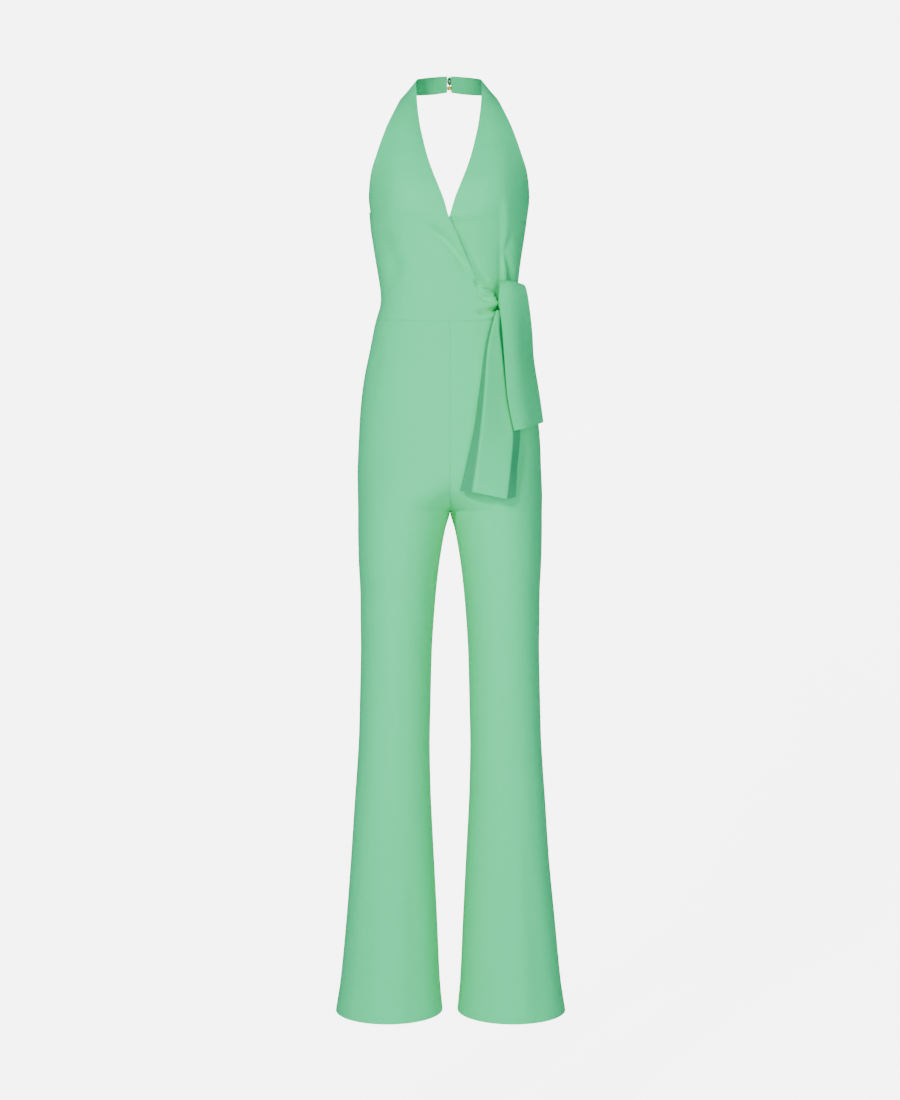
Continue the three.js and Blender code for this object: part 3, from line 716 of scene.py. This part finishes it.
# The tie
upperTailRows = np.array([
    # left edge, lengthwise fold, right edge, as seen from the front
    [(84, -70, -358), (97, -62, -357), (111, -46, -358)],
    [(80, -86, -353), (98, -79, -352), (117, -57, -354)],
    [(78, -98, -362), (99, -90, -360), (122, -62, -363)],
    [(78, -103, -390), (101, -94, -390), (127, -56, -390)],
    [(82, -107, -430), (104, -96, -428), (132, -46, -430)],
    [(85.5, -109, -475), (108, -97, -473), (135, -42, -473)],
    [(91, -110, -541), (114, -98, -538), (144, -42, -530)],
    [(101, -108, -592), (122, -97, -587), (150, -44, -574)],
], float)
lowerTailRows = np.array([
    # the part turned back at the left, both edges of the front face, the part turned under
    [(73, -79, -400.6), (75, -87, -399.6), (80, -85, -399.6), (92, -72, -399.6)],
    [(64, -88, -430), (67, -98, -430), (76, -92, -430), (94, -74, -430)],
    [(56, -96, -467), (60, -111, -467), (80, -97, -467), (98, -78, -467)],
    [(46, -108, -543), (54, -124, -543), (89, -99, -543), (106, -82, -543)],
    [(39, -111, -592), (49, -128, -592), (98, -99, -592), (111, -80, -592)],
    [(26, -113, -650), (42, -131, -650), (94, -110, -650), (106, -91, -648)],
    [(17, -108, -687), (36, -128, -689), (88, -114, -700), (103, -98, -696)],
], float)
upperTailFolds = [
    (1, 2.4, -3.2, (0.02, 0.7), 0, [(101, -352), (103, -364), (106, -384)]),
    (1, 5, 1.8, (0.05, 0.7), 0, [(108, -354), (113, -376), (120, -420)]),
    (1, 5, -1.2, (0.05, 0.8), 0, [(88, -352), (89, -380), (92, -440)]),
    (1, 9, -1.6, (0.5, 0.05), 0, [(120, -440), (126, -500), (134, -580)]),
]
lowerTailFolds = [
    (1, 3, -1.2, (0.02, 0.7), 0, [(72, -402), (72, -440), (72, -500)]),
    (1, 12, -1.6, (0.5, 0.05), 0, [(72, -500), (70, -590), (64, -690)]),
]
tie = {
    "columns": 46, "rows": 130,
    "turnedPaintedShade": 1.1,  # painted shade where the lower tail's edges turn back and under
    "turnedBlend": 0.12,
}
tails = {  # soft is how far the lengthwise folds are rounded, in millimetres
    "tie_upper_tail": {"rows": upperTailRows, "folds": upperTailFolds, "soft": 12,
                       "flat": (0.085, 0.265), "area": 0.02},
    "tie_lower_tail": {"rows": lowerTailRows, "folds": lowerTailFolds, "soft": 1.8,
                       "flat": (0.105, 0.305), "area": 0.0247},
}
knotRows = [
    # across, front to back, height, half height, half depth
    (79, -79, -383, 12, 7), (85, -77, -381, 17.5, 11), (95, -70, -380, 19.5, 14),
    (106, -59, -379, 19.5, 14), (115, -45, -378, 16, 11), (119, -32, -377, 9, 5),
]
knot = {
    "sides": 96, "rings": 64, "lobes": 4, "lobeRise": 0.1,
    "creases": 7, "creaseDeep": 1.3, "twist": 2.4, "creaseShade": -0.25,
}


def tailGrid(rows, soft):
    # straight between control points across, smooth along, with rounded lengthwise folds
    points = throughRows(rows, np.linspace(0, len(rows) - 1, tie["rows"]))
    keys = rows.shape[1] - 1
    place = np.linspace(0, keys, tie["columns"])
    i = np.clip(np.floor(place).astype(int), 0, keys - 1)
    t = (place - i)[None, :, None]
    grid = points[:, i] * (1 - t) + points[:, i + 1] * t
    step = np.linalg.norm(np.diff(grid, axis=1), axis=-1).mean()
    for _ in range(max(1, round(2 * (soft / step) ** 2))):
        inner = (grid[:, :-2] + 2 * grid[:, 1:-1] + grid[:, 2:]) / 4
        grid = np.concatenate([grid[:, :1], inner, grid[:, -1:]], axis=1)
    return grid, place


def makeTail(node):
    tail = tails[node]
    grid, place = tailGrid(tail["rows"], tail["soft"])
    turned = np.zeros(grid.shape[:2])
    # painted shade on the lower tail's part turned back at the left and the part turned under at the right
    if tail["rows"].shape[1] == 4:
        blend = tie["turnedBlend"]
        back = np.maximum(smooth((1 - place) / blend), smooth((place - 2) / blend))
        turned = turned + tie["turnedPaintedShade"] * back[None, :]
    piece = makeShell(node + "_cloth", grid, (), crepe, folds=tail["folds"], turned=turned)
    dress(piece, node)


def makeKnot(node):
    stations = np.array(knotRows, float)
    line = throughRows(stations, np.linspace(0, len(stations) - 1, knot["rings"]))
    run = np.gradient(line[:, :2], axis=0)
    outward = np.stack([run[:, 1], -run[:, 0]], axis=-1)
    outward /= np.linalg.norm(outward, axis=-1, keepdims=True)
    turn = np.linspace(0, 2 * math.pi, knot["sides"], endpoint=False)[None, :]
    along = np.linspace(0, len(stations) - 1, knot["rings"])[:, None]
    lobe = 1 + knot["lobeRise"] * np.cos(knot["lobes"] * turn + along)
    wave = np.cos(knot["creases"] * turn + knot["twist"] * along + 0.8 * np.sin(2 * turn))
    crease = -knot["creaseDeep"] * (0.5 + 0.5 * wave) ** 5
    deep = line[:, 4:5] * lobe + crease
    tall = line[:, 3:4] * lobe + crease
    x = line[:, :1] + outward[:, :1] * deep * np.cos(turn)
    y = line[:, 1:2] + outward[:, 1:] * deep * np.cos(turn)
    z = line[:, 2:3] + tall * np.sin(turn)
    grid = np.stack([x, y, z], axis=-1)
    rings, sides = grid.shape[:2]
    points = np.concatenate([grid.reshape(-1, 3), line[:1, :3], line[-1:, :3]]) * mm
    faces = []
    for i in range(rings - 1):
        for k in range(sides):
            after = (k + 1) % sides
            faces.append((i * sides + k, i * sides + after, (i + 1) * sides + after, (i + 1) * sides + k))
    tip = rings * sides
    for k in range(sides):
        after = (k + 1) % sides
        faces.append((after, k, tip))
        faces.append(((rings - 1) * sides + k, (rings - 1) * sides + after, tip + 1))
    mesh = bpy.data.meshes.new(node + "_cloth")
    mesh.from_pydata(points.tolist(), [], faces)
    layer = mesh.uv_layers.new(name="cloth")
    corners = np.empty(len(mesh.loops), dtype=np.int32)
    mesh.loops.foreach_get("vertex_index", corners)
    flat = np.stack(np.broadcast_arrays(along * 9, turn * 14), axis=-1).reshape(-1, 2) * mm
    flat = np.concatenate([flat, flat[:1], flat[-1:]])
    layer.data.foreach_set("uv", flat[corners].astype(np.float32).ravel())
    # painted shade in the knot's creases, darker the deeper the crease
    shade = mesh.attributes.new("paintedShade", "FLOAT", "POINT")
    creaseShade = knot["creaseShade"] * crease / knot["creaseDeep"] + 0 * lobe
    shadeValue = np.append(creaseShade.ravel(), [0, 0])
    shade.data.foreach_set("value", shadeValue.astype(np.float32))
    mesh.materials.append(crepe)
    piece = bpy.data.objects.new(node + "_cloth", mesh)
    bpy.context.collection.objects.link(piece)
    faceOut(piece)
    finishSmooth(piece)
    dress(piece, node)


def faceOut(piece):
    # a closed solid's faces are turned to point outwards
    pick(piece)
    bpy.ops.object.mode_set(mode="EDIT")
    bpy.ops.mesh.select_all(action="SELECT")
    bpy.ops.mesh.normals_make_consistent(inside=False)
    bpy.ops.object.mode_set(mode="OBJECT")


makeKnot("tie_knot")
makeTail("tie_upper_tail")
makeTail("tie_lower_tail")
print("stage: tie made")


# Closure at centre back
closure = {
    # thread: the loop's green with painted shade in it, much darker than the cloth for a loop that sits in
    # shade
    "thread": (0.004, 0.13, 0.035, 1), "gold": (0.72, 0.50, 0.10, 1),
    "loopPlace": (-0.8, 63.6, 6), "loopAcross": 1.9, "loopTall": 4.9, "loopPoints": 120,
    "strand": 1.5, "wind": 0.9, "winds": 9,
    "hookPlace": (-1.0, 62.4, -6), "hookLong": 8.4, "hookTall": 7.6, "hookWire": 1.3,
    "hookPoints": 40,
}


def plainPaint(name, colour, rough, metal):
    paint = bpy.data.materials.new(name)
    paint.use_nodes = True
    nodes, links = paint.node_tree.nodes, paint.node_tree.links
    shader = nodes["Principled BSDF"]
    place = nodes.new("ShaderNodeTexCoord")
    grain = nodes.new("ShaderNodeTexNoise")
    grain.inputs["Scale"].default_value = 1800
    links.new(place.outputs["Object"], grain.inputs["Vector"])
    bump = nodes.new("ShaderNodeBump")
    bump.inputs["Strength"].default_value = 0.2
    bump.inputs["Distance"].default_value = 0.0001
    links.new(grain.outputs["Fac"], bump.inputs["Height"])
    links.new(bump.outputs["Normal"], shader.inputs["Normal"])
    roughSpan = nodes.new("ShaderNodeMapRange")
    roughSpan.inputs["To Min"].default_value = rough - 0.08
    roughSpan.inputs["To Max"].default_value = rough + 0.08
    links.new(grain.outputs["Fac"], roughSpan.inputs["Value"])
    links.new(roughSpan.outputs["Result"], shader.inputs["Roughness"])
    shader.inputs["Base Color"].default_value = colour
    shader.inputs["Metallic"].default_value = metal
    return paint


def wireObject(name, path, radius, closed, paint):
    # a round wire or thread along a path of points in millimetres, as a closed mesh
    data = bpy.data.curves.new(name, "CURVE")
    data.dimensions = "3D"
    data.bevel_depth = radius * mm
    data.bevel_resolution = 3
    data.use_fill_caps = True
    line = data.splines.new("POLY")
    line.points.add(len(path) - 1)
    line.use_cyclic_u = closed
    for point, place in zip(line.points, path):
        point.co = (place[0] * mm, place[1] * mm, place[2] * mm, 1)
    wire = bpy.data.objects.new(name, data)
    bpy.context.collection.objects.link(wire)
    pick(wire)
    bpy.ops.object.convert(target="MESH")
    wire.data.materials.clear()
    wire.data.materials.append(paint)
    finishSmooth(wire)
    return wire


def joinPieces(pieces, name):
    bpy.ops.object.select_all(action="DESELECT")
    for piece in pieces:
        piece.select_set(True)
    bpy.context.view_layer.objects.active = pieces[0]
    bpy.ops.object.join()
    pieces[0].name = name
    return pieces[0]


def makeThreadLoop():
    # buttonhole thread wound round a loop: two strands twisted together along it
    c = closure
    paint = plainPaint("loopThread", c["thread"], 0.8, 0)
    x, y, z = c["loopPlace"]
    strands = []
    for strand in range(2):
        path = []
        for k in range(c["loopPoints"]):
            turn = 2 * math.pi * k / c["loopPoints"]
            twist = c["winds"] * turn + math.pi * strand
            grow = 1 + c["wind"] / c["loopTall"] * math.cos(twist)
            path.append((x + c["loopAcross"] * grow * math.cos(turn), y + c["wind"] * math.sin(twist),
                         z + c["loopTall"] * grow * math.sin(turn)))
        strands.append(wireObject("strand%d" % strand, path, c["strand"], True, paint))
    loop = joinPieces(strands, "neck_loop_thread")
    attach(loop, "root")
    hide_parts("neck_loop")


def makeHook():
    # a flat wire hook: an oval wire frame with a tongue bowed a little in front of it
    c = closure
    paint = plainPaint("hookGold", c["gold"], 0.3, 1)
    x, y, z = c["hookPlace"]
    long, tall, wire = c["hookLong"] / 2, c["hookTall"] / 2 - c["hookWire"], c["hookWire"]
    outline = []
    for k in range(c["hookPoints"]):
        turn = 2 * math.pi * k / c["hookPoints"]
        outline.append((x + (long - wire) * math.cos(turn), y, z + tall * math.sin(turn)))
    frameWire = wireObject("hookFrame", outline, wire, True, paint)
    tongue = [(x - long + wire, y - 0.3, z), (x - 0.6, y - 0.55, z), (x + long - 1.6, y - 0.45, z),
              (x + long - wire, y - 0.1, z)]
    tongueWire = wireObject("hookTongue", tongue, wire * 1.2, False, paint)
    hook = joinPieces([frameWire, tongueWire], "neck_hook_metal")
    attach(hook, "root")
    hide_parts("neck_hook")


makeThreadLoop()
makeHook()
print("stage: closure made")
